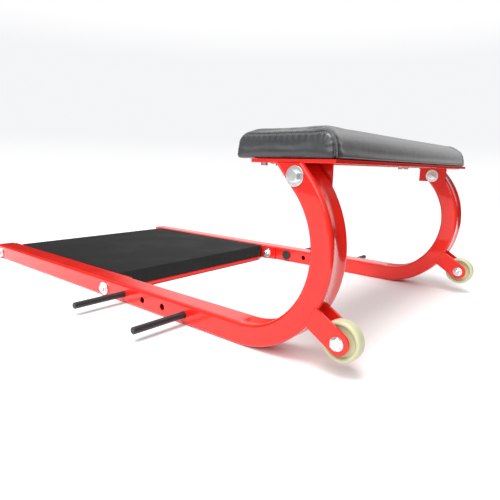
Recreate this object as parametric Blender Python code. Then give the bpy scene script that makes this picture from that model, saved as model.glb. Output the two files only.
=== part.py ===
"""Hip-thrust bench: a padded bench on two C-shaped arms, a foot platform, band pegs and wheels.

Frame: metres, +Z up, +X from the foot end towards the bench, +Y across.
The origin is on the floor under the middle of the whole object.
Every left-hand piece (y < 0) has a mirrored right-hand twin (y > 0).
"""
import bpy
import bmesh
from math import cos, pi, radians, sin, sqrt
from mathutils import Vector

# ---------------------------------------------------------------- driving dimensions
GAP = 0.0003                    # clearance between pieces that touch
HOLE_CLEARANCE = 0.0005         # added to a shaft's radius for its hole
OVERCUT = 0.010                 # how far a cutter runs past the faces it cuts
FINE = 18                       # sides of a round fastener
SMALL_SIDES = 12                # sides of a pad bolt and its hole

FRAME_HALF_WIDTH = 0.406        # middle of the bench to the outer face of a side frame
TUBE_WIDTH = 0.060              # across Y
TUBE_DEPTH = 0.050              # height of the rail
BEND_DEPTH = 0.046              # depth of the tube after bending
TUBE_CORNER = 0.007
TUBE_WALL = 0.003
DISH = 0.0035                   # how far the inside wall of the bend is drawn in

RAIL_END_X = -0.7415
PLUG_FLANGE = 0.004
PLUG_BLOCK = 0.010              # how far the plug reaches into the tube
PLUG_LIFT = 0.0005              # its flange stays clear of the floor
BEND_CENTRE = Vector((0.4715, 0.0, 0.215))
BEND_RADIUS = 0.215             # outer radius, so the bend rolls off the floor
BEND_START = radians(-90)
BEND_END = radians(40)          # the arm runs straight from here to its top
BEND_SPANS = 20
DISH_RUN_IN = 4                 # spans over which the bend reaches its full dish
RAIL_RUN_OUT = 0.020            # the rail's last plain section, before the bend
ARM_TOP_Z = 0.3755

PLATFORM_TOP = 0.049
PLATFORM_FRONT_X = -0.0485
MAT_REAR_X = -0.6915
MAT_THICK = 0.003
MAT_FOOT_Z = 0.014              # how far the grip sheet comes down the front slope
SHEET_THICK = 0.003
SHEET_FOOT_Z = 0.003
SHEET_REAR_X = -0.7005
SLOPE = radians(51.2)           # front and rear slopes of the tray, below the horizontal
MITRE = 0.061                   # how far each slope's end is cut back at its foot
SIDE_PLATE_THICK = 0.005
SIDE_PLATE_FRONT_X = 0.0195
SIDE_PLATE_INSET = 0.001
MAT_HALF_WIDTH = 0.338

PEG_FIRST_X = 0.0735
PEG_PITCH = 0.079
PEG_Z = 0.025
PEG_RADIUS = 0.008
PEG_REACH = 0.141               # length outside the rail
PEG_HEAD_RADIUS = 0.0175
PEG_HEAD_THICK = 0.006
PEG_HEAD_CHAMFER = 0.001
PEG_TIP_CHAMFER = 0.0015

AXLE_ANGLE = radians(-32)       # the fork stands out of the bend along this radius
AXLE_REACH = 0.277              # bend centre to axle
FORK_HALF = 0.022
FORK_THICK = 0.006
FORK_WIDTH = 0.043              # over both plates; both forks are flush with their tube's left face
FORK_ROOT_SPANS = 6
FORK_TIP_SPANS = 12
WHEEL_RADIUS = 0.039
WHEEL_HALF_WIDTH = 0.0122
WHEEL_SIDES = 28
SLEEVE_RADII = (0.0063, 0.0083)
WHEEL_PROFILE = (               # one side: distance from the wheel's middle, radius
    (WHEEL_HALF_WIDTH + 0.002, 0.0086), (WHEEL_HALF_WIDTH + 0.002, 0.013),
    (WHEEL_HALF_WIDTH - 0.006, 0.0145), (WHEEL_HALF_WIDTH - 0.006, 0.029),
    (WHEEL_HALF_WIDTH - 0.001, 0.031), (WHEEL_HALF_WIDTH, 0.034),
    (WHEEL_HALF_WIDTH - 0.0015, 0.0375), (WHEEL_HALF_WIDTH - 0.005, WHEEL_RADIUS))

PAD_X = (0.4555, 0.6835)
PAD_HALF_LENGTH = 0.403
PAD_Z = (0.3831, 0.441)
PAD_CORNERS = (0.018, 0.032, 0.019, 0.005)      # foot low, foot top, bench top, bench low
PAD_CORNER_STEPS = 5
PAD_END_ROUND = 0.014
PAD_END_STEPS = 4
PAD_LOW_SHRINK = 0.3            # share of an end's rounding that its underside takes
PAD_LEAST_RADIUS = 0.003
BOARD_INSET = 0.022             # clear of the cushion's round edges
BOARD_THICK = 0.012
BAR_X = (0.4985, 0.6805)
BAR_HALF_LENGTH = 0.401
BAR_THICK = 0.007
LONG_BAR_WIDTH = 0.040
END_BAR_WIDTH = 0.0605
BRACKET_X = (0.5655, 0.6435)
BRACKET_BOTTOM_Z = 0.336
BRACKET_THICK = 0.005

BOLT_RADIUS = 0.006             # M12
BOLT_HEAD_HALF = 0.0095         # across flats / 2
BOLT_HEAD_THICK = 0.0075
NUT_THICK = 0.010
BIG_WASHER_RADIUS = 0.0185
FLANGE_RADIUS = 0.013           # of the axle's flanged bolt and nut
FLANGE_THICK = 0.002
WASHER_THICK = 0.003
SHANK_PAST_NUT = 0.003
AXLE_PAST_NUT = 0.002
HEAD_CHAMFER = 0.0012
HEAD_TOP_SHARE = 0.90           # radius of a head's round top, as a share of its corners'
PAD_BOLT_RADIUS = 0.004
PAD_BOLT_HEAD_RADIUS = 0.0075
PAD_BOLT_HEAD_THICK = 0.0053
PAD_BOLT_BITE = 0.010           # how far a pad bolt goes into the board
TOP_BOLT = (0.6045, 0.353)
FRONT_BOLT = (-0.0195, 0.022)
FOOT_BOLT = (-0.7205, 0.022)
PAD_BOLTS = ((0.509, 0.373), (0.509, 0.325))

INNER_FACE = FRAME_HALF_WIDTH - TUBE_WIDTH
FORK_MIDDLES = {sign: sign * (FRAME_HALF_WIDTH - TUBE_WIDTH / 2) - (TUBE_WIDTH - FORK_WIDTH) / 2
                for sign in (-1, 1)}
AXLE = (BEND_CENTRE.x + AXLE_REACH * cos(AXLE_ANGLE), BEND_CENTRE.z + AXLE_REACH * sin(AXLE_ANGLE))
PEG_XS = [PEG_FIRST_X + PEG_PITCH * i for i in range(4)]
SIDES = (("left", -1), ("right", 1))


# ---------------------------------------------------------------- scene and materials
def clear_scene():
    for old in list(bpy.data.objects):
        bpy.data.objects.remove(old, do_unlink=True)


def material(name, colour, roughness, metallic=0.0):
    made = bpy.data.materials.new(name)
    made.use_nodes = True
    shader = made.node_tree.nodes["Principled BSDF"]
    shader.inputs["Base Color"].default_value = (*colour, 1.0)
    shader.inputs["Roughness"].default_value = roughness
    shader.inputs["Metallic"].default_value = metallic
    return made


# ---------------------------------------------------------------- mesh helpers
def add_object(name, bm, mat, smooth=True, recalc=True):
    if recalc:
        bmesh.ops.recalc_face_normals(bm, faces=bm.faces)
    mesh = bpy.data.meshes.new(name)
    bm.to_mesh(mesh)
    bm.free()
    mesh.materials.append(mat)
    if smooth:
        mesh.shade_smooth()
        mesh.set_sharp_from_angle(angle=radians(35))
    made = bpy.data.objects.new(name, mesh)
    bpy.context.collection.objects.link(made)
    return made


def join_rings(bm, here, there):
    """Faces between two rings of equally many corners."""
    for i in range(len(here)):
        j = (i + 1) % len(here)
        bm.faces.new((here[i], here[j], there[j], there[i]))


def loft(rings, ends="capped"):
    """A mesh through rings of points: its ends are capped, or meet each other (looped)."""
    bm = bmesh.new()
    made = [[bm.verts.new(p) for p in ring] for ring in rings]
    for here, there in zip(made, made[1:]):
        join_rings(bm, here, there)
    if ends == "capped":
        bm.faces.new(made[0])
        bm.faces.new(made[-1])
    else:
        join_rings(bm, made[-1], made[0])
    return bm


def circle(radius, sides=FINE):
    return [(radius * cos(2 * pi * k / sides), radius * sin(2 * pi * k / sides)) for k in range(sides)]


def hexagon(corner, sides=FINE):
    """A hexagon with as many points as a circle of that many sides."""
    points = []
    for k in range(sides):
        a = 2 * pi * k / sides
        reach = corner * cos(pi / 6) / cos((a + pi / 6) % (pi / 3) - pi / 6)
        points.append((reach * cos(a), reach * sin(a)))
    return points


def along_y(outline, y, centre):
    """An outline's points set round the Y line through centre (x, z)."""
    return [(centre[0] + a, y, centre[1] + b) for a, b in outline]


def along_z(outline, z, centre):
    """An outline's points set round the vertical line through centre (x, y)."""
    return [(centre[0] + a, centre[1] + b, z) for a, b in outline]


def block(low, high):
    bm = bmesh.new()
    bmesh.ops.create_cube(bm, size=1.0)
    low, high = Vector(low), Vector(high)
    for v in bm.verts:
        v.co = Vector(((high[k] - low[k]) * v.co[k] for k in range(3))) + (low + high) / 2
    return bm


def box(name, low, high, mat, bevel=0.0):
    bm = block(low, high)
    if bevel:
        bmesh.ops.bevel(bm, geom=bm.edges[:], offset=bevel, segments=2, profile=0.5, affect="EDGES")
    return add_object(name, bm, mat)


def turned(name, profile, centre, mat, sides=FINE):
    """Turns a closed profile of (y, radius) points about the Y line through centre (x, z)."""
    rings = [along_y(circle(r, sides), y, centre) for y, r in profile]
    return add_object(name, loft(rings, ends="looped"), mat)


def stacked(name, layers, centre, mat):
    """A solid shaft along Y from (y, outline) layers."""
    return add_object(name, loft([along_y(outline, y, centre) for y, outline in layers]), mat)


def subtract(target, cutter_mesh):
    cutter = add_object(target.name + "_cutter", cutter_mesh, target.data.materials[0], smooth=False)
    cutter.hide_render = True
    cutter.display_type = "WIRE"
    cut = target.modifiers.new("cut_" + cutter.name, "BOOLEAN")
    cut.operation = "DIFFERENCE"
    cut.solver = "EXACT"
    cut.object = cutter


def add_prism(bm, low_ring, high_ring):
    low, high = [bm.verts.new(p) for p in low_ring], [bm.verts.new(p) for p in high_ring]
    join_rings(bm, low, high)
    bm.faces.new(low)
    bm.faces.new(high)


def drill_across(target, holes, low_y, high_y):
    """Cuts round holes along Y; each hole is (x, z, radius)."""
    bm = bmesh.new()
    for x, z, radius in holes:
        outline = circle(radius)
        add_prism(bm, along_y(outline, low_y - OVERCUT, (x, z)), along_y(outline, high_y + OVERCUT, (x, z)))
    subtract(target, bm)


def drill_upright(target, holes, radius, low_z, high_z):
    """Cuts round upright holes; each hole is (x, y)."""
    bm = bmesh.new()
    for place in holes:
        outline = circle(radius, SMALL_SIDES)
        add_prism(bm, along_z(outline, low_z - OVERCUT, place), along_z(outline, high_z + OVERCUT, place))
    subtract(target, bm)


def rounded_rectangle(half_width, low, high, radius, steps=2, dish=0.0):
    """Section points (across, up); the top side can be drawn in by dish at its middle."""
    corners = ((half_width - radius, low + radius, -90), (half_width - radius, high - radius, 0),
               (-half_width + radius, high - radius, 90), (-half_width + radius, low + radius, 180))
    points = []
    for index, (across, up, start) in enumerate(corners):
        for k in range(steps + 1):
            a = radians(start + 90 * k / steps)
            points.append((across + radius * cos(a), up + radius * sin(a)))
        if index == 1:
            for share in (0.5, 0.0, -0.5):
                points.append((share * (half_width - radius), high - dish * (1 - share ** 2)))
    return points


# ---------------------------------------------------------------- side frame
def arm_stations():
    """Stations along the tube: (place for a height above the outer face, share of full bend)."""
    def on_rail(x):
        return lambda up: (x, up)

    def on_bend(angle):
        return lambda up: (BEND_CENTRE.x + (BEND_RADIUS - up) * cos(angle),
                           BEND_CENTRE.z + (BEND_RADIUS - up) * sin(angle))

    def at_top(up):
        reach = BEND_RADIUS - up
        run = (ARM_TOP_Z - BEND_CENTRE.z - reach * sin(BEND_END)) / cos(BEND_END)
        return (BEND_CENTRE.x + reach * cos(BEND_END) - run * sin(BEND_END), ARM_TOP_Z)

    stations = [(on_rail(RAIL_END_X), 0.0), (on_rail(BEND_CENTRE.x - RAIL_RUN_OUT), 0.0)]
    for k in range(BEND_SPANS + 1):
        angle = BEND_START + (BEND_END - BEND_START) * k / BEND_SPANS
        stations.append((on_bend(angle), min(1.0, (k + 1) / DISH_RUN_IN)))
    stations.append((at_top, 1.0))
    return stations


def side_frame(side, sign, mat):
    """One bent box tube: rail, C-shaped bend and arm, open at both ends and drilled."""
    middle = sign * (FRAME_HALF_WIDTH - TUBE_WIDTH / 2)
    outer, inner = [], []
    for place, share in arm_stations():
        depth = TUBE_DEPTH + (BEND_DEPTH - TUBE_DEPTH) * share
        skin = rounded_rectangle(TUBE_WIDTH / 2, 0.0, depth, TUBE_CORNER, dish=DISH * share)
        bore = rounded_rectangle(TUBE_WIDTH / 2 - TUBE_WALL, TUBE_WALL, depth - TUBE_WALL,
                                 TUBE_CORNER - TUBE_WALL, dish=DISH * share)
        for section, rings in ((skin, outer), (bore, inner)):
            rings.append([(place(up)[0], middle + across, place(up)[1]) for across, up in section])
    made = add_object("side_frame_" + side, loft(outer + inner[::-1], ends="looped"), mat)
    bolts = [(*centre, BOLT_RADIUS + HOLE_CLEARANCE) for centre in (TOP_BOLT, FRONT_BOLT, FOOT_BOLT)]
    pegs = [(x, PEG_Z, PEG_RADIUS + HOLE_CLEARANCE) for x in PEG_XS]
    drill_across(made, bolts + pegs, middle - TUBE_WIDTH / 2, middle + TUBE_WIDTH / 2)


def end_plug(side, sign, mat):
    """Plastic plug in the rail's foot end: a flange outside, a block inside."""
    middle = sign * (FRAME_HALF_WIDTH - TUBE_WIDTH / 2)
    wall = TUBE_WALL + GAP
    wide = rounded_rectangle(TUBE_WIDTH / 2, PLUG_LIFT, TUBE_DEPTH, TUBE_CORNER)
    slim = rounded_rectangle(TUBE_WIDTH / 2 - wall, wall, TUBE_DEPTH - wall, TUBE_CORNER - wall)
    rings = []
    for x, section in ((RAIL_END_X - GAP - PLUG_FLANGE, wide), (RAIL_END_X - GAP, wide),
                       (RAIL_END_X - GAP, slim), (RAIL_END_X + PLUG_BLOCK, slim)):
        rings.append([(x, middle + across, up) for across, up in section])
    add_object("rail_end_plug_" + side, loft(rings), mat)


# ---------------------------------------------------------------- wheels and forks
def fork_plate(name, near_y, far_y, mat):
    """A plate standing out of the bend along one radius, round about the axle, with its hole."""
    outline = []
    root = BEND_RADIUS + GAP
    for k in range(FORK_ROOT_SPANS + 1):
        across = -FORK_HALF + 2 * FORK_HALF * k / FORK_ROOT_SPANS
        outline.append((sqrt(root ** 2 - across ** 2), across))
    for k in range(FORK_TIP_SPANS + 1):
        a = pi / 2 - pi * k / FORK_TIP_SPANS
        outline.append((AXLE_REACH + FORK_HALF * cos(a), FORK_HALF * sin(a)))
    rings = []
    for y in (near_y, far_y):
        rings.append([(BEND_CENTRE.x + out * cos(AXLE_ANGLE) - across * sin(AXLE_ANGLE), y,
                       BEND_CENTRE.z + out * sin(AXLE_ANGLE) + across * cos(AXLE_ANGLE))
                      for out, across in outline])
    plate = add_object(name, loft(rings), mat)
    drill_across(plate, [(*AXLE, BOLT_RADIUS + HOLE_CLEARANCE)], near_y, far_y)


def fork(side, sign, mat):
    for place, way in (("outer", sign), ("inner", -sign)):
        face = FORK_MIDDLES[sign] + way * FORK_WIDTH / 2
        low, high = sorted((face, face - way * FORK_THICK))
        fork_plate(f"fork_plate_{place}_{side}", low, high, mat)


def wheel(side, sign, mat, steel):
    """Cast roller with rounded shoulders and recessed webs, on a spacer sleeve."""
    middle = FORK_MIDDLES[sign]
    profile = [(middle + y, r) for y, r in WHEEL_PROFILE]
    profile += [(middle - y, r) for y, r in WHEEL_PROFILE[::-1]]
    turned("wheel_" + side, profile, AXLE, mat, sides=WHEEL_SIDES)
    reach = FORK_WIDTH / 2 - FORK_THICK - GAP
    bore, outside = SLEEVE_RADII
    low, high = middle - reach, middle + reach
    sleeve = [(low, bore), (low, outside), (high, outside), (high, bore)]
    turned("axle_sleeve_" + side, sleeve, AXLE, steel)


# ---------------------------------------------------------------- fasteners along Y
def washer(name, face, sign, centre, radius, mat):
    near, far = face + sign * GAP, face + sign * (GAP + WASHER_THICK)
    ring = [(near, BOLT_RADIUS + GAP), (near, radius), (far, radius), (far, BOLT_RADIUS + GAP)]
    turned(name, ring, centre, mat)
    return face + sign * (GAP + WASHER_THICK)


def hex_bolt(name, head_face, tip, sign, centre, mat, flange=0.0):
    """Head outside head_face, shank to tip; sign points out of the head."""
    corner = BOLT_HEAD_HALF / cos(pi / 6)
    near = head_face + sign * GAP
    far = near + sign * BOLT_HEAD_THICK
    layers = [(far, circle(corner * HEAD_TOP_SHARE)), (far - sign * HEAD_CHAMFER, hexagon(corner))]
    if flange:
        collar = near + sign * FLANGE_THICK
        layers += [(collar, hexagon(corner)), (collar, circle(flange)), (near, circle(flange))]
    else:
        layers.append((near, hexagon(corner)))
    layers += [(near, circle(BOLT_RADIUS)), (tip, circle(BOLT_RADIUS))]
    stacked(name, layers, centre, mat)


def hex_nut(name, face, sign, centre, mat, flange=0.0):
    """Nut whose seat is on face and which stands out along sign."""
    corner = BOLT_HEAD_HALF / cos(pi / 6)
    bore = circle(BOLT_RADIUS + GAP)
    seat, top = face + sign * GAP, face + sign * (GAP + NUT_THICK)
    layers = [(seat, hexagon(corner))]
    if flange:
        collar = seat + sign * FLANGE_THICK
        layers = [(seat, circle(flange)), (collar, circle(flange)), (collar, hexagon(corner))]
    layers += [(top, hexagon(corner)), (top, bore), (seat, bore)]
    rings = [along_y(outline, y, centre) for y, outline in layers]
    add_object(name, loft(rings, ends="looped"), mat)


def through_bolt(place, side, sign, centre, mat):
    """Bolt, two large washers and nut through the tube and a plate on its inner face."""
    tag = f"{place}_{side}"
    head_face = washer("washer_outer_" + tag, sign * FRAME_HALF_WIDTH, sign, centre, BIG_WASHER_RADIUS, mat)
    plate_face = sign * (INNER_FACE - GAP - SIDE_PLATE_THICK)
    nut_face = washer("washer_inner_" + tag, plate_face, -sign, centre, BIG_WASHER_RADIUS, mat)
    hex_nut("nut_" + tag, nut_face, -sign, centre, mat)
    hex_bolt("bolt_" + tag, head_face, nut_face - sign * (NUT_THICK + SHANK_PAST_NUT), sign, centre, mat)


def axle_bolt(side, sign, mat):
    head_face = FORK_MIDDLES[sign] + sign * FORK_WIDTH / 2
    nut_face = FORK_MIDDLES[sign] - sign * FORK_WIDTH / 2
    tip = nut_face - sign * (NUT_THICK + AXLE_PAST_NUT)
    hex_nut("nut_axle_" + side, nut_face, -sign, AXLE, mat, flange=FLANGE_RADIUS)
    hex_bolt("bolt_axle_" + side, head_face, tip, sign, AXLE, mat, flange=FLANGE_RADIUS)


# ---------------------------------------------------------------- band pegs
def band_peg(name, x, sign, mat):
    """Headed pin pushed out through the rail from inside; the head rests on the inner face."""
    seat = sign * (INNER_FACE - GAP)
    tip = sign * (FRAME_HALF_WIDTH + PEG_REACH)
    head_top = seat - sign * PEG_HEAD_THICK
    layers = [(head_top, circle(PEG_HEAD_RADIUS - PEG_HEAD_CHAMFER)),
              (head_top + sign * PEG_HEAD_CHAMFER, circle(PEG_HEAD_RADIUS)),
              (seat, circle(PEG_HEAD_RADIUS)), (seat, circle(PEG_RADIUS)),
              (tip - sign * PEG_TIP_CHAMFER, circle(PEG_RADIUS)), (tip, circle(PEG_RADIUS - PEG_TIP_CHAMFER))]
    stacked(name, layers, (x, PEG_Z), mat)


# ---------------------------------------------------------------- foot platform
def tray_line(inset):
    """Corners (x, z) of the tray's bent line, inset below the finished platform surface."""
    shift = inset * (1 - cos(SLOPE)) / sin(SLOPE)
    z = PLATFORM_TOP - inset
    run = (z - SHEET_FOOT_Z) * cos(SLOPE) / sin(SLOPE)
    front, rear = PLATFORM_FRONT_X - shift, SHEET_REAR_X + shift
    return [(rear - run, SHEET_FOOT_Z), (rear, z), (front, z), (front + run, SHEET_FOOT_Z)]


def bent_sheet(name, upper, lower, widths, mat):
    """A sheet between two bent lines; widths are its half widths at the line's corners."""
    rings = []
    for (ux, uz), (lx, lz), half in zip(upper, lower, widths):
        rings.append([(ux, -half, uz), (ux, half, uz), (lx, half, lz), (lx, -half, lz)])
    add_object(name, loft(rings), mat, smooth=False)


def platform(red, grip):
    top_gap = MAT_THICK + GAP
    half = INNER_FACE - GAP - SIDE_PLATE_THICK - GAP
    upper, lower = tray_line(top_gap), tray_line(top_gap + SHEET_THICK)
    bent_sheet("platform_tray", upper, lower, (half - MITRE, half, half, half - MITRE), red)
    fall = (PLATFORM_TOP - MAT_FOOT_Z) * cos(SLOPE) / sin(SLOPE)
    share = (PLATFORM_TOP - MAT_FOOT_Z) / (PLATFORM_TOP - SHEET_FOOT_Z)
    shift = MAT_THICK * (1 - cos(SLOPE)) / sin(SLOPE)
    mat_upper = [(MAT_REAR_X, PLATFORM_TOP), (PLATFORM_FRONT_X, PLATFORM_TOP),
                 (PLATFORM_FRONT_X + fall, MAT_FOOT_Z)]
    mat_lower = [(MAT_REAR_X, PLATFORM_TOP - MAT_THICK), (PLATFORM_FRONT_X - shift, PLATFORM_TOP - MAT_THICK),
                 (PLATFORM_FRONT_X + fall - MAT_THICK * sin(SLOPE), MAT_FOOT_Z - MAT_THICK * cos(SLOPE))]
    foot_half = MAT_HALF_WIDTH - MITRE * share
    bent_sheet("platform_grip_sheet", mat_upper, mat_lower, (MAT_HALF_WIDTH, MAT_HALF_WIDTH, foot_half), grip)


def side_plate(side, sign, mat):
    """Upright plate between the tray and the rail, bolted through the rail near both ends."""
    low, high = sorted((sign * (INNER_FACE - GAP), sign * (INNER_FACE - GAP - SIDE_PLATE_THICK)))
    plate = box("platform_side_plate_" + side, (RAIL_END_X + SIDE_PLATE_INSET, low, SIDE_PLATE_INSET),
                (SIDE_PLATE_FRONT_X, high, PLATFORM_TOP - SIDE_PLATE_INSET), mat)
    holes = [(*centre, BOLT_RADIUS + HOLE_CLEARANCE) for centre in (FRONT_BOLT, FOOT_BOLT)]
    drill_across(plate, holes, low, high)


# ---------------------------------------------------------------- bench pad
def pad_bolt_places():
    return [(x, sign * y) for x, y in PAD_BOLTS for _, sign in SIDES]


def pad_frame(mat):
    """Welded rectangle of flat bar under the pad; its end bars sit on the arms."""
    low_z, high_z = ARM_TOP_Z + GAP, ARM_TOP_Z + GAP + BAR_THICK
    window_x = (BAR_X[0] + LONG_BAR_WIDTH, BAR_X[1] - LONG_BAR_WIDTH)
    window_half = BAR_HALF_LENGTH - END_BAR_WIDTH
    rings = []
    for xs, half_y, z in ((BAR_X, BAR_HALF_LENGTH, low_z), (BAR_X, BAR_HALF_LENGTH, high_z),
                          (window_x, window_half, high_z), (window_x, window_half, low_z)):
        rings.append([(xs[0], -half_y, z), (xs[1], -half_y, z), (xs[1], half_y, z), (xs[0], half_y, z)])
    frame = add_object("pad_frame", loft(rings, ends="looped"), mat, smooth=False)
    drill_upright(frame, pad_bolt_places(), PAD_BOLT_RADIUS + HOLE_CLEARANCE, low_z, high_z)


def pad_bracket(side, sign, mat):
    """Plate that hangs from the end bar and is bolted through the top of the arm."""
    low, high = sorted((sign * (INNER_FACE - GAP), sign * (INNER_FACE - GAP - BRACKET_THICK)))
    plate = box("pad_bracket_" + side, (BRACKET_X[0], low, BRACKET_BOTTOM_Z),
                (BRACKET_X[1], high, ARM_TOP_Z), mat)
    drill_across(plate, [(*TOP_BOLT, BOLT_RADIUS + HOLE_CLEARANCE)], low, high)


def pad_section(shrink):
    """(x, z) round the cushion, whose four corners have their own radii; shrunk near the ends."""
    low_x, high_x = PAD_X[0] + shrink, PAD_X[1] - shrink
    low_z, high_z = PAD_Z[0] + shrink * PAD_LOW_SHRINK, PAD_Z[1] - shrink
    spots = ((low_x, low_z, 1, 1, 270), (low_x, high_z, 1, -1, 180),
             (high_x, high_z, -1, -1, 90), (high_x, low_z, -1, 1, 0))
    points = []
    for (x, z, way_x, way_z, start), radius in zip(spots, PAD_CORNERS):
        left = max(radius - shrink, PAD_LEAST_RADIUS)
        for k in range(PAD_CORNER_STEPS + 1):
            a = radians(start - 90 * k / PAD_CORNER_STEPS)
            points.append((x + left * (way_x + cos(a)), z + left * (way_z + sin(a))))
    return points


def cushion_rings():
    rings = []
    for sign in (-1, 1):
        ends = []
        for k in range(PAD_END_STEPS + 1):
            a = pi / 2 * k / PAD_END_STEPS
            y = PAD_HALF_LENGTH - PAD_END_ROUND * (1 - sin(a))
            ends.append([(x, sign * y, z) for x, z in pad_section(PAD_END_ROUND * (1 - cos(a)))])
        rings += ends[::-1] if sign < 0 else ends
    return rings


def pad(vinyl, wood, steel):
    """Upholstered cushion with a pocket underneath that holds its board."""
    cushion = add_object("pad_cushion", loft(cushion_rings()), vinyl)
    low_x, high_x = PAD_X[0] + BOARD_INSET, PAD_X[1] - BOARD_INSET
    half_y = PAD_HALF_LENGTH - BOARD_INSET
    board_top = PAD_Z[0] + BOARD_THICK
    subtract(cushion, block((low_x, -half_y, PAD_Z[0] - OVERCUT), (high_x, half_y, board_top + GAP)))
    board = box("pad_board", (low_x + GAP, -half_y + GAP, PAD_Z[0]),
                (high_x - GAP, half_y - GAP, board_top), wood)
    drill_upright(board, pad_bolt_places(), PAD_BOLT_RADIUS + GAP, PAD_Z[0], board_top)
    for index, (x, y) in enumerate(PAD_BOLTS):
        for side, sign in SIDES:
            pad_bolt(f"pad_bolt_{index + 1}_{side}", (x, sign * y), steel)


def pad_bolt(name, place, mat):
    """Small hex bolt screwed up through the flat bar into the board."""
    seat = ARM_TOP_Z
    head = hexagon(PAD_BOLT_HEAD_RADIUS, SMALL_SIDES)
    shank = circle(PAD_BOLT_RADIUS, SMALL_SIDES)
    layers = [(seat - PAD_BOLT_HEAD_THICK, head), (seat, head), (seat, shank),
              (seat + BAR_THICK + PAD_BOLT_BITE, shank)]
    add_object(name, loft([along_z(outline, z, place) for z, outline in layers]), mat)


# ---------------------------------------------------------------- assembly
def main():
    clear_scene()
    red = material("red_powder_coat", (0.80, 0.015, 0.012), 0.22)
    grip = material("grip_sheet", (0.02, 0.021, 0.023), 0.85)
    vinyl = material("black_vinyl", (0.016, 0.017, 0.018), 0.38)
    wood = material("plywood", (0.50, 0.36, 0.20), 0.7)
    zinc = material("zinc_steel", (0.72, 0.73, 0.74), 0.25, 1.0)
    roller = material("roller_polyurethane", (0.66, 0.60, 0.36), 0.35)
    black = material("black_steel", (0.022, 0.024, 0.027), 0.35)
    plastic = material("black_plastic", (0.02, 0.02, 0.02), 0.5)
    for side, sign in SIDES:
        side_frame(side, sign, red)
        end_plug(side, sign, plastic)
        fork(side, sign, red)
        wheel(side, sign, roller, zinc)
        axle_bolt(side, sign, zinc)
        for place, centre in (("top", TOP_BOLT), ("front", FRONT_BOLT), ("foot", FOOT_BOLT)):
            through_bolt(place, side, sign, centre, zinc)
        for name, x in (("foot", PEG_XS[0]), ("bench", PEG_XS[3])):
            band_peg(f"band_peg_{name}_{side}", x, sign, black)
        side_plate(side, sign, red)
        pad_bracket(side, sign, red)
    platform(red, grip)
    pad_frame(red)
    pad(vinyl, wood, zinc)


main()
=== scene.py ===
# %% [markdown]
# # A hip-thrust bench
#
# This is a strength-training bench. The lifter sits on the floor between the two side frames,
# leans the shoulders on the padded bench and braces the feet on the low platform. An elastic
# band hooks over the pegs, and two rollers at the bench end let one person wheel it away.
#
# Its parts are already packed as a frame: every piece has its true size and place, and the
# moving ones ride on joints. Here each piece gets its finished surface. We load the frame
# first and keep its pieces, so that their boxes can be read.

# %% Load the frame
import bmesh
import bpy
from math import cos, pi, radians, sin, sqrt, tan
from mathutils import Matrix, Vector
from mathutils.bvhtree import BVHTree
from mathutils.kdtree import KDTree


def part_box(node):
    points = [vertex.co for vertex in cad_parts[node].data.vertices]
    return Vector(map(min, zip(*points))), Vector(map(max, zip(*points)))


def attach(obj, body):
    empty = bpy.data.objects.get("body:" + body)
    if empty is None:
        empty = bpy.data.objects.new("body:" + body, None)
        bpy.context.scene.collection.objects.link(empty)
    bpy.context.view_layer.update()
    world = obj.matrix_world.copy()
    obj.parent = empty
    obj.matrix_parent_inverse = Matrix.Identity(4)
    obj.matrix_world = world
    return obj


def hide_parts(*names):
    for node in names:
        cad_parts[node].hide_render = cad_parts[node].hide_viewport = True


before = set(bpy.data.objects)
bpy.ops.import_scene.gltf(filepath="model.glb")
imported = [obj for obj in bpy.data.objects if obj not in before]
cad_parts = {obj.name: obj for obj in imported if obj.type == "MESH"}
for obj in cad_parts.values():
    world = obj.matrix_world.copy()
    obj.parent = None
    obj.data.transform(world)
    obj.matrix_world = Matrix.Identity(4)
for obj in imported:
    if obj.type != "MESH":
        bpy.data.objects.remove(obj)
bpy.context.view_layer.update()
print("pieces in the frame:", len(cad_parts))

# %% [markdown]
# ## Reading sizes from the frame
#
# We could type every size again, but then a change in the CAD would leave this script behind.
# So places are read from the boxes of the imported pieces, and only the few sizes that a box
# cannot tell, such as a bend radius or a wall, are named here.

# %% Sizes
def low(node):
    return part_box(node)[0]


def high(node):
    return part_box(node)[1]


def middle(node):
    return (low(node) + high(node)) / 2


SIDES = (("left", -1), ("right", 1))
TUBE_LOW, TUBE_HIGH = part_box("side_frame_right")
TUBE_WIDTH = TUBE_HIGH.y - TUBE_LOW.y
OUTER_FACE, INNER_FACE = TUBE_HIGH.y, TUBE_LOW.y
TUBE_MIDDLE = (OUTER_FACE + INNER_FACE) / 2
BEND_RADIUS = 0.215
BEND_X, BEND_Z = TUBE_HIGH.x - BEND_RADIUS, BEND_RADIUS
RAIL_DEPTH, BEND_DEPTH = 0.050, 0.046
TUBE_CORNER, TUBE_WALL = 0.007, 0.003
AXLE = middle("wheel_right")
print(f"side frames {TUBE_WIDTH * 1000:.0f} mm wide, outer faces {2 * OUTER_FACE * 1000:.0f} mm apart")

# %% [markdown]
# ## The camera
#
# The camera stands low at the bench end, a little above bench height, and looks down the
# length of the frame. Its place and turn are plain numbers. The last turn is a small roll,
# because a hand-held camera is never quite level.

# %% Camera
CAMERA_PLACE = Vector((1.0407, -1.0542, 0.3687))
CAMERA_TURN, CAMERA_DIP, CAMERA_ROLL = radians(39.54), radians(10.94), radians(1.49)
CAMERA_LENS, SENSOR = 31.34, 36.0


def camera_matrix(place, turn, dip, roll):
    ahead = Vector((-sin(turn) * cos(dip), cos(turn) * cos(dip), -sin(dip)))
    level = Vector((cos(turn), sin(turn), 0.0))
    rise = level.cross(ahead)
    right = level * cos(roll) + rise * sin(roll)
    up = rise * cos(roll) - level * sin(roll)
    return Matrix.Translation(place) @ Matrix((right, up, -ahead)).transposed().to_4x4()


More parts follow.
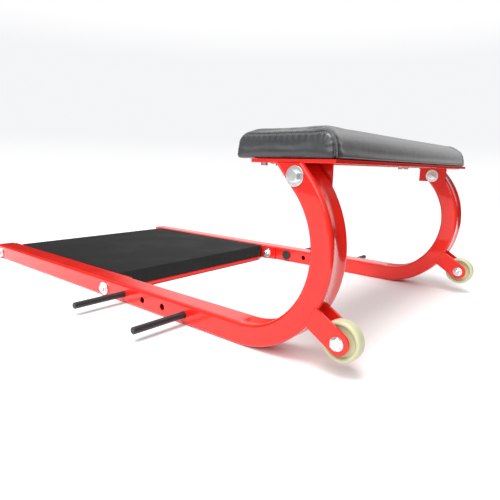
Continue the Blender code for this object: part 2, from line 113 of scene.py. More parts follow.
camera = bpy.data.objects.new("camera", bpy.data.cameras.new("camera"))
bpy.context.scene.collection.objects.link(camera)
camera.matrix_world = camera_matrix(CAMERA_PLACE, CAMERA_TURN, CAMERA_DIP, CAMERA_ROLL)
camera.data.lens = CAMERA_LENS
camera.data.sensor_width = SENSOR
bpy.context.scene.camera = camera
bpy.context.scene.view_settings.view_transform = "Standard"
print("camera looks along", [round(v, 3) for v in -camera.matrix_world.col[2].xyz])

# %% [markdown]
# ## Writing shaders as sums
#
# A material in Blender is a web of nodes. Wiring it by hand hides the idea, so one small class
# wraps a node's output and turns ordinary arithmetic into Math nodes: `1 - dirt * 0.3` reads as
# what it does. Every other node comes from one method, `node`, which takes its kind, its
# settings and what goes into its sockets.

# %% Shader helpers
class Wire:
    """A node's output that can be added, multiplied and so on."""

    def __init__(self, finish, socket):
        self.finish = finish
        self.socket = socket

    def maths(self, operation, first, second):
        return self.finish.node("Math", {"operation": operation}, {0: first, 1: second})

    def __add__(self, other):
        return self.maths("ADD", self, other)

    def __sub__(self, other):
        return self.maths("SUBTRACT", self, other)

    def __rsub__(self, other):
        return self.maths("SUBTRACT", other, self)

    def __mul__(self, other):
        return self.maths("MULTIPLY", self, other)

    def __pow__(self, other):
        return self.maths("POWER", self, other)

    __radd__ = __add__
    __rmul__ = __mul__


class Finish:
    """A material being made: a Principled shader, and nodes that vary it."""

    def __init__(self, name, **fixed):
        self.material = bpy.data.materials.new(name)
        self.material.use_nodes = True
        self.tree = self.material.node_tree
        self.shader = self.tree.nodes["Principled BSDF"]
        self.feed(self.shader, {key.replace("_", " "): value for key, value in fixed.items()})

    def feed(self, node, sockets):
        for key, value in sockets.items():
            socket = node.inputs[key]
            if isinstance(value, Wire):
                self.tree.links.new(value.socket, socket)
            elif socket.type == "RGBA":
                socket.default_value = (*value, 1.0)
            else:
                socket.default_value = value

    def node(self, kind, settings=None, sockets=None, output=0):
        made = self.tree.nodes.new("ShaderNode" + kind)
        settings = dict(settings or {})
        stops = settings.pop("stops", ())
        for key, value in settings.items():
            setattr(made, key, value)
        for index, (place, shade) in enumerate(stops):
            elements = made.color_ramp.elements
            element = elements[index] if index < len(elements) else elements.new(place)
            element.position = place
            element.color = (shade, shade, shade, 1.0)
        self.feed(made, sockets or {})
        return Wire(self, made.outputs[output])

    def place(self, stretch=(1.0, 1.0, 1.0)):
        """Where we are on the piece, in metres, stretched along each axis."""
        spot = self.node("TexCoord", output=3)
        return self.node("VectorMath", {"operation": "MULTIPLY"}, {0: spot, 1: stretch})

    def noise(self, grain, detail=2.0, stretch=(1.0, 1.0, 1.0)):
        """Soft random mottle whose blotches are about grain metres across."""
        sockets = {"Vector": self.place(stretch), "Scale": 1 / grain, "Detail": detail}
        return self.node("TexNoise", {}, sockets)

    def cells(self, grain, feature="F1"):
        """Distance pattern of rounded cells about grain metres across."""
        return self.node("TexVoronoi", {"feature": feature}, {"Vector": self.place(), "Scale": 1 / grain})

    def band(self, value, start, end):
        """0 below start, 1 above end, smooth between."""
        sockets = {"Value": value, "From Min": start, "From Max": end}
        return self.node("MapRange", {"interpolation_type": "SMOOTHSTEP"}, sockets)

    def mix(self, share, first, second):
        """One colour fading into another."""
        return self.node("Mix", {"data_type": "RGBA"}, {0: share, 6: first, 7: second}, output=2)

    def edges(self, width):
        """1 along sharp edges, fading to 0 within width metres."""
        rounded = self.node("Bevel", {"samples": 4}, {"Radius": width})
        true = self.node("NewGeometry", output=1)
        likeness = self.node("VectorMath", {"operation": "DOT_PRODUCT"}, {0: rounded, 1: true}, output=1)
        return self.band(1 - likeness, 0.02, 0.25)

    def bump(self, height, depth, under=None):
        """Raises the surface by height times depth metres, over an earlier bump."""
        sockets = {"Height": height, "Distance": depth}
        if under:
            sockets["Normal"] = under
        return self.node("Bump", {}, sockets)

    def done(self, **varied):
        self.feed(self.shader, {key.replace("_", " "): value for key, value in varied.items()})
        return self.material


print("shader helpers ready")

# %% [markdown]
# ## Red powder coat
#
# The steel is sprayed with dry red powder and baked, so it flows into a thick, very glossy
# skin. Up close it has a soft orange peel, it is a touch thinner and lighter along edges, and
# a few fine handling scuffs dull it. A plain shiny red would look like toy plastic. So the
# base stays a little rough, a clear coat over it carries the sharp reflections, and noise
# drives the peel, the scuffs and the tiny differences in colour.

# %% Red powder coat
RED, DEEP_RED, EDGE_RED = (0.86, 0.022, 0.012), (0.78, 0.015, 0.009), (0.92, 0.060, 0.038)


def make_red_powder_coat():
    coat = Finish("red_powder_coat", Coat_Roughness=0.03, Coat_IOR=1.45, IOR=1.5, Specular_IOR_Level=0.20)
    cloud = coat.noise(0.090, detail=3.0)
    edge = coat.edges(0.0012) * coat.band(coat.noise(0.006), 0.35, 0.65)
    scuffs = coat.band(coat.noise(0.0035, detail=4.0, stretch=(0.25, 1.0, 1.0)), 0.66, 0.76)
    colour = coat.mix(coat.band(cloud, 0.30, 0.70), DEEP_RED, RED)
    colour = coat.mix(edge * 0.5, colour, EDGE_RED)
    peel = coat.bump(coat.noise(0.0032), 0.00004)
    return coat.done(Base_Color=colour, Roughness=0.20 + cloud * 0.08 + scuffs * 0.22,
                     Coat_Weight=0.95 - scuffs * 0.35 - edge * 0.15, Normal=peel)


red_coat = make_red_powder_coat()
print("finish:", red_coat.name)

# %% [markdown]
# ## Grip sheet
#
# The foot platform is faced with a dark anti-slip sheet: coarse mineral grain in black resin.
# Real grains would need millions of faces, so cells and noise at about a millimetre raise the
# surface in the shader. Grain tips are greyer and more worn where the feet rub.

# %% Grip sheet
def make_grip_sheet():
    grip = Finish("grip_sheet", Specular_IOR_Level=0.30)
    grains = grip.cells(0.0021)
    dust = grip.noise(0.0013, detail=5.0)
    worn = grip.band(grip.noise(0.16, detail=3.0), 0.40, 0.68)
    tips = 1 - grip.band(grains, 0.15, 0.62)
    colour = grip.mix(tips * 0.55 + dust * 0.25, (0.002, 0.0022, 0.0024), (0.011, 0.0120, 0.0128))
    colour = grip.mix(worn * tips * 0.30, colour, (0.032, 0.035, 0.035))
    rough = grip.bump(dust, 0.0004)
    return grip.done(Base_Color=colour, Roughness=0.72 - tips * 0.16 - worn * 0.08,
                     Normal=grip.bump(tips, 0.0006, under=rough))


grip_sheet = make_grip_sheet()
print("finish:", grip_sheet.name)

# %% [markdown]
# ## Vinyl, thread and board
#
# The pad is covered in black upholstery vinyl. Vinyl is embossed with a leather grain of
# rounded pebbles about a millimetre wide, with finer pores on them, and it has a satin sheen
# that turns pale grey at a glancing look. The thread is waxed polyester in dark grey, and the
# board under the foam is plywood with long veneer grain.

# %% Vinyl, thread and board
def make_black_vinyl():
    vinyl = Finish("black_vinyl", IOR=1.5, Coat_Roughness=0.27, Coat_IOR=1.45, Sheen_Weight=0.28,
                   Sheen_Roughness=0.45)
    pebbles = vinyl.cells(0.0014)
    pores = vinyl.noise(0.0005, detail=2.0)
    handled = vinyl.noise(0.070, detail=3.0)
    colour = vinyl.mix(vinyl.band(handled, 0.30, 0.70), (0.028, 0.031, 0.034), (0.048, 0.052, 0.057))
    colour = vinyl.mix(vinyl.band(pebbles, 0.05, 0.50) * 0.5, colour, (0.012, 0.0125, 0.013))
    soft = vinyl.bump(vinyl.noise(0.022, detail=2.0), 0.0009)
    fine = vinyl.bump(pores, 0.00005, under=soft)
    return vinyl.done(Base_Color=colour, Roughness=0.34 + handled * 0.12 + pebbles * 0.08,
                      Coat_Weight=0.95 - handled * 0.4, Normal=vinyl.bump(1 - pebbles, 0.00016, under=fine))


def make_thread():
    thread = Finish("stitch_thread", IOR=1.5)
    ply = thread.noise(0.0008, detail=3.0)
    colour = thread.mix(ply, (0.13, 0.135, 0.14), (0.26, 0.265, 0.275))
    return thread.done(Base_Color=colour, Roughness=0.45 + ply * 0.2, Normal=thread.bump(ply, 0.0002))


def make_plywood():
    wood = Finish("plywood", IOR=1.45)
    grain = wood.noise(0.0016, detail=4.0, stretch=(1.0, 0.06, 1.0))
    figure = wood.noise(0.020, detail=3.0, stretch=(1.0, 0.12, 1.0))
    colour = wood.mix(wood.band(figure, 0.30, 0.70), (0.46, 0.32, 0.18), (0.60, 0.45, 0.27))
    colour = wood.mix(wood.band(grain, 0.50, 0.72) * 0.6, colour, (0.27, 0.17, 0.09))
    return wood.done(Base_Color=colour, Roughness=0.62 + grain * 0.2, Normal=wood.bump(grain, 0.00025))


black_vinyl = make_black_vinyl()
stitch_thread = make_thread()
plywood = make_plywood()
print("finishes:", black_vinyl.name, stitch_thread.name, plywood.name)

# %% [markdown]
# ## Metal, roller and black parts
#
# The bolts are bright zinc plate with a faint blue and straw tint and fine tool marks. The
# rollers are cast in straw-coloured polyurethane that light sinks into, which subsurface
# scattering gives. The pegs are black satin steel, rubbed paler where a band drags, and the
# tube plugs are moulded plastic with a fine grain.

# %% Metal, roller and black parts
def make_zinc():
    zinc = Finish("zinc_steel", IOR=1.5)
    tint = zinc.noise(0.011, detail=2.0)
    marks = zinc.noise(0.0007, detail=3.0, stretch=(1.0, 0.15, 1.0))
    colour = zinc.mix(zinc.band(tint, 0.35, 0.65), (0.86, 0.88, 0.92), (0.92, 0.91, 0.87))
    colour = zinc.mix(zinc.band(marks, 0.60, 0.80) * 0.4, colour, (0.48, 0.49, 0.50))
    return zinc.done(Base_Color=colour, Metallic=0.96 - tint * 0.06, Roughness=0.14 + marks * 0.16,
                     Normal=zinc.bump(marks, 0.00003))


def make_polyurethane():
    roller = Finish("roller_polyurethane", IOR=1.5, Subsurface_Weight=0.35, Subsurface_Scale=0.006,
                    Subsurface_Radius=(1.0, 0.85, 0.45))
    cloud = roller.noise(0.016, detail=3.0)
    grime = roller.band(roller.noise(0.004, detail=4.0), 0.62, 0.80)
    colour = roller.mix(cloud, (0.52, 0.52, 0.31), (0.62, 0.615, 0.41))
    colour = roller.mix(grime * 0.45, colour, (0.36, 0.33, 0.21))
    return roller.done(Base_Color=colour, Roughness=0.30 + cloud * 0.12 + grime * 0.2,
                       Normal=roller.bump(roller.noise(0.0030), 0.00008))


def make_black_steel():
    black = Finish("black_steel", IOR=1.5)
    rubbed = black.band(black.noise(0.007, detail=4.0, stretch=(1.0, 0.3, 1.0)), 0.55, 0.80)
    turning = black.noise(0.0006, detail=2.0, stretch=(1.0, 3.0, 1.0))
    colour = black.mix(rubbed * 0.5 + turning * 0.15, (0.014, 0.016, 0.018), (0.075, 0.080, 0.085))
    return black.done(Base_Color=colour, Roughness=0.34 + turning * 0.14 + rubbed * 0.08,
                      Normal=black.bump(turning, 0.00005))


def make_black_plastic():
    plastic = Finish("black_plastic", IOR=1.46)
    grain = plastic.noise(0.0007, detail=2.0)
    shade = plastic.noise(0.020, detail=2.0)
    colour = plastic.mix(shade, (0.012, 0.012, 0.013), (0.024, 0.024, 0.026))
    return plastic.done(Base_Color=colour, Roughness=0.42 + grain * 0.18,
                        Normal=plastic.bump(grain, 0.0001))


zinc_steel = make_zinc()
roller_cast = make_polyurethane()
black_steel = make_black_steel()
black_plastic = make_black_plastic()
print("finishes:", zinc_steel.name, roller_cast.name, black_steel.name, black_plastic.name)

# %% [markdown]
# ## Mesh helpers
#
# Almost everything here is a stack of outlines joined by faces: a bent tube, a bolt, a wheel
# and a bent sheet differ only in their outlines. `skin` joins such rings. `add_piece` turns the
# result into an object, rides it on its body and hides the imported pieces it stands for. Large
# flat faces beside small round corners would shade as if they bulged, so a Weighted Normal
# modifier lets the big faces decide.

# %% Mesh helpers
def skin(rings, looped=False):
    """A closed mesh through rings of equally many points, capped or joined end to end."""
    bm = bmesh.new()
    made = [[bm.verts.new(point) for point in ring] for ring in rings]
    for here, there in zip(made, made[1:] + (made[:1] if looped else [])):
        for i in range(len(here)):
            j = (i + 1) % len(here)
            bm.faces.new((here[i], here[j], there[j], there[i]))
    if not looped:
        bm.faces.new(made[0])
        bm.faces.new(made[-1])
    return bm


def add_mesh(name, bm, finish, crease=35):
    bmesh.ops.recalc_face_normals(bm, faces=bm.faces)
    mesh = bpy.data.meshes.new(name)
    bm.to_mesh(mesh)
    bm.free()
    mesh.materials.append(finish)
    mesh.shade_smooth()
    mesh.set_sharp_from_angle(angle=radians(crease))
    made = bpy.data.objects.new(name, mesh)
    bpy.context.scene.collection.objects.link(made)
    return made


def add_piece(name, bm, finish, body="frame", stands_for=(), even=True):
    """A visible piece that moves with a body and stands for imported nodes."""
    piece = add_mesh(name, bm, finish)
    if even:
        piece.modifiers.new("even_faces", "WEIGHTED_NORMAL").keep_sharp = True
    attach(piece, body)
    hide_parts(*stands_for)
    return piece


def eased(outline, radius, steps=4, is_open=False):
    """An outline with each corner drawn as a short curve."""
    made = []
    count = len(outline)
    for i, corner in enumerate(outline):
        here = Vector(corner)
        if is_open and i in (0, count - 1):
            made.append(here)
            continue
        back, on = Vector(outline[i - 1]) - here, Vector(outline[(i + 1) % count]) - here
        reach = min(radius, back.length * 0.45, on.length * 0.45)
        start, end = here + back.normalized() * reach, here + on.normalized() * reach
        for k in range(steps + 1):
            t = k / steps
            made.append(start * (1 - t) ** 2 + here * (2 * t * (1 - t)) + end * t ** 2)
    return made


print("mesh helpers ready")

# %% [markdown]
# Pieces get drilled after they are lofted, as in the workshop. The cutters are removed again
# once the cut is applied. Plates get a small bevel on their sharp edges, because a cut steel
# edge is never a perfect knife edge and the paint on it catches the light.

# %% Drilling and bevelling
ROUND = 48


def ring_along_y(centre, y, reach):
    """Points round the Y line through centre; reach is a radius or a function of the angle."""
    points = []
    for k in range(ROUND):
        angle = 2 * pi * k / ROUND
        radius = reach(angle) if callable(reach) else reach
        points.append((centre.x + radius * cos(angle), y, centre.z + radius * sin(angle)))
    return points


def keep_result(piece):
    """Replaces a piece's mesh by what its modifiers make of it."""
    result = bpy.data.meshes.new_from_object(piece.evaluated_get(bpy.context.evaluated_depsgraph_get()))
    piece.modifiers.clear()
    piece.data = result


def drill(piece, holes, radius, start, end, crease=35):
    """Cuts round holes along Y from start to end through each point of holes."""
    for hole in holes:
        ends = [ring_along_y(hole, y, radius) for y in (start, end)]
        cutter = add_mesh("drill", skin(ends), red_coat)
        cut = piece.modifiers.new("drill", "BOOLEAN")
        cut.operation, cut.solver, cut.object = "DIFFERENCE", "EXACT", cutter
        bpy.context.view_layer.update()
        keep_result(piece)
        bpy.data.objects.remove(cutter)
    piece.data.set_sharp_from_angle(angle=radians(crease))
    piece.modifiers.new("even_faces", "WEIGHTED_NORMAL").keep_sharp = True


def soften(bm, width, above=40):
    """Bevels every edge whose faces meet at more than this many degrees."""
    bm.normal_update()
    sharp = [e for e in bm.edges if len(e.link_faces) == 2 and e.calc_face_angle(0.0) > radians(above)]
    bmesh.ops.bevel(bm, geom=sharp, offset=width, segments=2, profile=0.5, affect="EDGES")
    return bm


def slab(low_corner, high_corner, edge=0.0008):
    a, b = Vector(low_corner), Vector(high_corner)
    rings = [[(a.x, a.y, z), (b.x, a.y, z), (b.x, b.y, z), (a.x, b.y, z)] for z in (a.z, b.z)]
    bm = skin(rings)
    bmesh.ops.recalc_face_normals(bm, faces=bm.faces)
    return soften(bm, edge)


print("holes are cut with", ROUND, "sides")

# %% [markdown]
# ## Side frames
#
# Each side frame is one 60 by 50 mm box tube: a straight rail, a big C bend that rolls off the
# floor, and a short straight top. When a box tube is bent round a former its inside wall is
# drawn in, and the outside wall sinks a little too, so the bend has a shallow channel front
# and back with the corners standing as ridges. We sweep a rounded section along the line and
# let the section change on the way: that gives the channel its clean start at the rail.

# %% Side frames
INSIDE_DISH, OUTSIDE_DISH = 0.0075, 0.0034
BEND_STEPS = 84
BEND_FROM, BEND_TO = radians(-90), radians(40)


def smooth_step(value, start, end):
    t = min(1.0, max(0.0, (value - start) / (end - start)))
    return t * t * (3 - 2 * t)


def tube_section(half, bottom, top, corner, dish_bottom, dish_top, steps=6, spans=12):
    """Points (across, up) of a box tube whose bottom and top walls may be drawn in."""
    flat = half - corner
    points = []

    def arc(across, up, start):
        for k in range(steps + 1):
            a = radians(start + 90 * k / steps)
            points.append((across + corner * cos(a), up + corner * sin(a)))

    arc(flat, bottom + corner, -90)
    arc(flat, top - corner, 0)
    for k in range(1, spans):
        share = 1 - 2 * k / spans
        points.append((share * flat, top - dish_top * (1 - share ** 2) ** 1.5))
    arc(-flat, top - corner, 90)
    arc(-flat, bottom + corner, 180)
    for k in range(1, spans):
        share = 2 * k / spans - 1
        points.append((share * flat, bottom + dish_bottom * (1 - share ** 2) ** 1.5))
    return points


def tube_stations():
    """(place of a height in the section, depth, inside dish, outside dish) along the tube."""
    def rail(x):
        return lambda up: (x, up)

    def bend(angle):
        return lambda up: (BEND_X + (BEND_RADIUS - up) * cos(angle),
                           BEND_Z + (BEND_RADIUS - up) * sin(angle))

    def top(up):
        reach = BEND_RADIUS - up
        run = (TUBE_HIGH.z - BEND_Z - reach * sin(BEND_TO)) / cos(BEND_TO)
        return (BEND_X + reach * cos(BEND_TO) - run * sin(BEND_TO), TUBE_HIGH.z)

    stations = [(rail(TUBE_LOW.x), RAIL_DEPTH, 0.0, 0.0), (rail(BEND_X - 0.030), RAIL_DEPTH, 0.0, 0.0),
                (rail(BEND_X - 0.012), RAIL_DEPTH, 0.0, 0.0)]
    for k in range(BEND_STEPS + 1):
        angle = BEND_FROM + (BEND_TO - BEND_FROM) * k / BEND_STEPS
        turned_by = (angle - BEND_FROM) / (BEND_TO - BEND_FROM)
        depth = RAIL_DEPTH + (BEND_DEPTH - RAIL_DEPTH) * smooth_step(turned_by, -0.03, 0.20)
        inside = INSIDE_DISH * smooth_step(turned_by, 0.0, 0.035)
        outside = OUTSIDE_DISH * smooth_step(turned_by, 0.10, 0.30)
        stations.append((bend(angle), depth, inside, outside))
    stations.append((top, BEND_DEPTH, INSIDE_DISH, OUTSIDE_DISH))
    return stations


def make_side_frame(side, sign):
    skins, bores = [], []
    for place, depth, inside, outside in tube_stations():
        outer = tube_section(TUBE_WIDTH / 2, 0.0, depth, TUBE_CORNER, outside, inside)
        inner = tube_section(TUBE_WIDTH / 2 - TUBE_WALL, TUBE_WALL, depth - TUBE_WALL,
                             TUBE_CORNER - TUBE_WALL, outside, inside)
        for section, rings in ((outer, skins), (inner, bores)):
            rings.append([(place(up)[0], sign * TUBE_MIDDLE + across, place(up)[1])
                          for across, up in section])
    name = "side_frame_" + side
    piece = add_piece(side + "_bent_side_tube", skin(skins + bores[::-1], looped=True), red_coat,
                      stands_for=[name], even=False)
    bolts = [middle(f"bolt_{place}_{side}") for place in ("top", "front", "foot")]
    first, last = middle("band_peg_foot_" + side), middle("band_peg_bench_" + side)
    pegs = [first.lerp(last, k / 3) for k in range(4)]
    near, far = sorted((sign * (INNER_FACE - 0.01), sign * (OUTER_FACE + 0.01)))
    drill(piece, bolts, 0.0065, near, far)
    drill(piece, pegs, 0.0085, near, far)
    return piece


for side, sign in SIDES:
    tube = make_side_frame(side, sign)
    print(tube.name, "has", len(tube.data.polygons), "faces")

# %% [markdown]
# ## Welds
#
# A weld is a row of small overlapping puddles, so its bead ripples along its length. We sweep
# a circle along the joint, swell it once per puddle and sink it halfway into the metal. The
# powder coat runs over it, so it takes the same red finish.

# %% Weld bead
PUDDLE = 0.0030


def bead_rings(points, radius, up, sides=12):
    """Rings of a rippled bead along a line of close points."""
    rings = []
    run = 0.0
    whole = sum((b - a).length for a, b in zip(points, points[1:]))
    for i, point in enumerate(points):
        along = (points[min(i + 1, len(points) - 1)] - points[max(i - 1, 0)]).normalized()
        side = along.cross(up).normalized()
        over = side.cross(along)
        if i:
            run += (point - points[i - 1]).length
        taper = min(1.0, 0.25 + 300 * min(run, whole - run))
        swell = radius * taper * (0.86 + 0.14 * abs(sin(pi * run / PUDDLE)))
        rings.append([point + (side * cos(a) + over * sin(a)) * swell
                      for a in (2 * pi * k / sides for k in range(sides))])
    return rings


def line_points(start, end, step=0.0006):
    start, end = Vector(start), Vector(end)
    count = max(2, round((end - start).length / step))
    return [start.lerp(end, k / count) for k in range(count + 1)]


def add_beads(name, lines, radius, up):
    """One piece made of several beads."""
    whole = bmesh.new()
    for points in lines:
        part = skin(bead_rings(points, radius, Vector(up)))
        mesh = bpy.data.meshes.new("bead")
        part.to_mesh(mesh)
        part.free()
        whole.from_mesh(mesh)
        bpy.data.meshes.remove(mesh)
    return add_piece(name, whole, red_coat, even=False)


print("weld puddles every", PUDDLE * 1000, "mm")

# %% [markdown]
# ## Wheel forks
#
# Two round-ended plates stand out of the bend along one radius and carry the axle. They are
# cut from 6 mm plate and welded on. One of the pair is flush with the left side of the tube and
# follows its rounded corner, so its root is sunk a little; the other stands on the flat.

# %% Wheel forks
FORK_HALF, FORK_SUNK = 0.022, 0.0062
FORK_OUT = Vector((AXLE.x - BEND_X, 0.0, AXLE.z - BEND_Z))
FORK_REACH = FORK_OUT.length
FORK_OUT.normalize()
FORK_ACROSS = Vector((-FORK_OUT.z, 0.0, FORK_OUT.x))
BEND_MIDDLE = Vector((BEND_X, 0.0, BEND_Z))


def fork_outline():
    root = BEND_RADIUS - FORK_SUNK
    outline = []
    for k in range(13):
        across = FORK_HALF * (k / 6 - 1)
        outline.append(BEND_MIDDLE + FORK_OUT * sqrt(root ** 2 - across ** 2) + FORK_ACROSS * across)
    for k in range(33):
        a = pi / 2 - pi * k / 32
        outline.append(BEND_MIDDLE + FORK_OUT * (FORK_REACH + FORK_HALF * cos(a))
                       + FORK_ACROSS * FORK_HALF * sin(a))
    return outline


def make_fork_plate(place, side):
    node = f"fork_plate_{place}_{side}"
    near, far = low(node).y, high(node).y
    bm = skin([[(p.x, y, p.z) for p in fork_outline()] for y in (near, far)])
    bmesh.ops.recalc_face_normals(bm, faces=bm.faces)
    plate = add_piece(f"{side}_fork_cheek_{place}", soften(bm, 0.0007), red_coat,
                      stands_for=[node], even=False)
    drill(plate, [AXLE], 0.0065, near - 0.01, far + 0.01)


def make_fork_welds(side):
    lines = []
    faces = [corner.y for place in ("outer", "inner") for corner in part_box(f"fork_plate_{place}_{side}")]
    for y in faces:
        flush = min(abs(abs(y) - OUTER_FACE), abs(abs(y) - INNER_FACE)) < 0.001
        sunk = FORK_SUNK if flush else OUTSIDE_DISH * 0.8
        points = []
        for k in range(75):
            across = (FORK_HALF - 0.001) * (k / 37 - 1)
            reach = sqrt((BEND_RADIUS - sunk) ** 2 - across ** 2)
            spot = BEND_MIDDLE + FORK_OUT * reach + FORK_ACROSS * across
            points.append(Vector((spot.x, y, spot.z)))
        lines.append(points)
    return add_beads(side + "_fork_welds", lines, 0.0013, FORK_OUT)


for side, sign in SIDES:
    for place in ("outer", "inner"):
        make_fork_plate(place, side)
    print(make_fork_welds(side).name, "made")

# %% [markdown]
# ## Rollers
#
# The roller is one casting: a tread ring with soft shoulders, a web sunk below the rim on both
# sides and a hub that runs on a steel sleeve. It is turned from one profile, whose corners are
# eased as a mould would leave them, and it rides on its own body so that it can spin.

# %% Rollers
ROLLER_PROFILE = ((0.0142, 0.0086), (0.0142, 0.0130), (0.0066, 0.0148), (0.0062, 0.0285),
                  (0.0110, 0.0308), (0.0122, 0.0335), (0.0112, 0.0372), (0.0072, 0.0390))


def turned(profile, centre, sides=72):
    """Turns a closed profile of (y, radius) points about the Y line through centre."""
    rings = []
    for k in range(sides):
        a = 2 * pi * k / sides
        rings.append([(centre.x + r * cos(a), y, centre.z + r * sin(a)) for y, r in profile])
    return skin(rings, looped=True)


SLEEVE_BORE, SLEEVE_RADIUS = 0.0064, 0.0083


def make_roller(side):
    body = "wheel_" + side
    centre = middle(body)
    half = [(centre.y + y, r) for y, r in ROLLER_PROFILE]
    other = [(centre.y - y, r) for y, r in ROLLER_PROFILE[::-1]]
    roller = add_piece(side + "_roller", turned(eased(half + other, 0.0016), centre), roller_cast,
                       body=body, stands_for=[body], even=False)
    sleeve = "axle_sleeve_" + side
    reach = (high(sleeve).y - low(sleeve).y) / 2
    tube = [(centre.y - reach, SLEEVE_BORE), (centre.y - reach, SLEEVE_RADIUS),
            (centre.y + reach, SLEEVE_RADIUS), (centre.y + reach, SLEEVE_BORE)]
    add_piece(side + "_roller_sleeve", turned(eased(tube, 0.0003, steps=2), centre, sides=48), zinc_steel,
              stands_for=[sleeve], even=False)
    return roller


for side, _ in SIDES:
    roller = make_roller(side)
    print(roller.name, "is", round((high("wheel_" + side).z - low("wheel_" + side).z) * 1000), "mm across")

# %% [markdown]
# ## Bolts, nuts and washers
#
# Hexagon fasteners have details that the eye expects. The six top corners are cut back by a
# cone, which draws a curved line on every flat. The shank that comes through the nut shows its
# thread, and punched washers have one soft edge. All of that follows from formulas: the reach
# of a hexagon at an angle, a cone's drop beyond the top circle, and a saw-tooth for the thread.

# %% Fastener shapes
FLATS_HALF = 0.0095
CORNER_REACH = FLATS_HALF / cos(pi / 6)
SHANK = 0.006
THREAD_PITCH, THREAD_DEPTH = 0.00175, 0.0008


def hexagon(angle):
    return CORNER_REACH * cos(pi / 6) / cos((angle + pi / 6) % (pi / 3) - pi / 6)


def chamfered_end(centre, y, inward):
    """Two rings that end a hexagon at y: its coned edge and the circle inside it."""
    rim = FLATS_HALF * 0.97
    edge = []
    for k in range(ROUND):
        angle = 2 * pi * k / ROUND
        reach = hexagon(angle)
        drop = (reach - rim) * tan(pi / 6)
        edge.append((centre.x + reach * cos(angle), y + inward * drop, centre.z + reach * sin(angle)))
    return [edge, ring_along_y(centre, y, rim)]


def threaded_end(centre, start, tip, out):
    """Rings of a threaded shank from start to its chamfered tip."""
    steps = max(6, round(abs(tip - start) / THREAD_PITCH * 8))
    rings = []
    for k in range(steps + 1):
        y = start + (tip - start) * k / steps
        left = abs(tip - y)

        def reach(angle, y=y, left=left):
            tooth = abs(((out * y / THREAD_PITCH - angle / (2 * pi)) % 1.0) * 2 - 1)
            return min(SHANK - THREAD_DEPTH * tooth, SHANK - 0.0012 + left)

        rings.append(ring_along_y(centre, y, reach))
    return rings


def flange_rings(centre, seat, out, radius, thick):
    """A collar under a head or nut, from its seat outwards."""
    return [ring_along_y(centre, seat, radius - 0.0003), ring_along_y(centre, seat + out * 0.0004, radius),
            ring_along_y(centre, seat + out * 0.0010, radius),
            ring_along_y(centre, seat + out * thick, hexagon)]


print("bolt heads are", FLATS_HALF * 2000, "mm across their flats")

# %% Bolts, nuts and washers
def make_bolt(name, node, out, thread_from, flange=0.0):
    """A bolt whose head is at the end of its node that lies along out."""
    centre = middle(node)
    ends = (low(node).y, high(node).y)
    top, tip = (ends[1], ends[0]) if out > 0 else ends
    seat = top - out * 0.0075
    rings = chamfered_end(centre, top, -out)[::-1]
    if flange:
        rings += flange_rings(centre, seat, out, flange, 0.0022)[::-1]
    else:
        rings.append(ring_along_y(centre, seat, hexagon))
    rings.append(ring_along_y(centre, seat, SHANK))
    rings += threaded_end(centre, thread_from, tip, -out)
    return add_piece(name, skin(rings), zinc_steel, stands_for=[node])


def make_nut(name, node, out, flange=0.0):
    """A nut that stands out along out from its seat."""
    centre = middle(node)
    ends = (low(node).y, high(node).y)
    seat, top = ends if out > 0 else ends[::-1]
    bore = 0.0062
    if flange:
        rings = flange_rings(centre, seat, out, flange, 0.0022)
    else:
        rings = chamfered_end(centre, seat, out)[::-1]
    rings += chamfered_end(centre, top, -out)
    rings += [ring_along_y(centre, top, bore + 0.0008), ring_along_y(centre, top - out * 0.0008, bore),
              ring_along_y(centre, seat + out * 0.0003, bore), ring_along_y(centre, seat, bore + 0.0003)]
    return add_piece(name, skin(rings, looped=True), zinc_steel, stands_for=[node])


def make_washer(name, node):
    centre = middle(node)
    near, far = low(node).y, high(node).y
    radius = (high(node).x - low(node).x) / 2
    profile = [(near, 0.0064), (near, radius), (far, radius), (far, 0.0064)]
    return add_piece(name, turned(eased(profile, 0.0007, steps=3), centre), zinc_steel, stands_for=[node])


count = 0
for side, sign in SIDES:
    for place in ("top", "front", "foot"):
        tag = f"{place}_{side}"
        nut_seat = high("nut_" + tag).y if sign > 0 else low("nut_" + tag).y
        make_washer(f"{side}_{place}_outer_washer", "washer_outer_" + tag)
        make_washer(f"{side}_{place}_inner_washer", "washer_inner_" + tag)
        make_bolt(f"{side}_{place}_hex_bolt", "bolt_" + tag, sign, nut_seat)
        make_nut(f"{side}_{place}_hex_nut", "nut_" + tag, -sign)
        count += 4
    collar = (high("bolt_axle_" + side).x - low("bolt_axle_" + side).x) / 2
    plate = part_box("fork_plate_inner_" + side)
    make_bolt(f"{side}_axle_hex_bolt", "bolt_axle_" + side, sign, plate[0 if sign > 0 else 1].y,
              flange=collar)
    make_nut(f"{side}_axle_hex_nut", "nut_axle_" + side, -sign, flange=collar)
    count += 2
print(count, "fasteners made")

# %% [markdown]
# ## Band pegs and tube plugs
#
# A peg is a headed pin pushed out through the rail from inside. Its end is chamfered and shows
# a shallow centre mark from the lathe. The plug that closes the tube's foot end has a soft
# moulded rim.

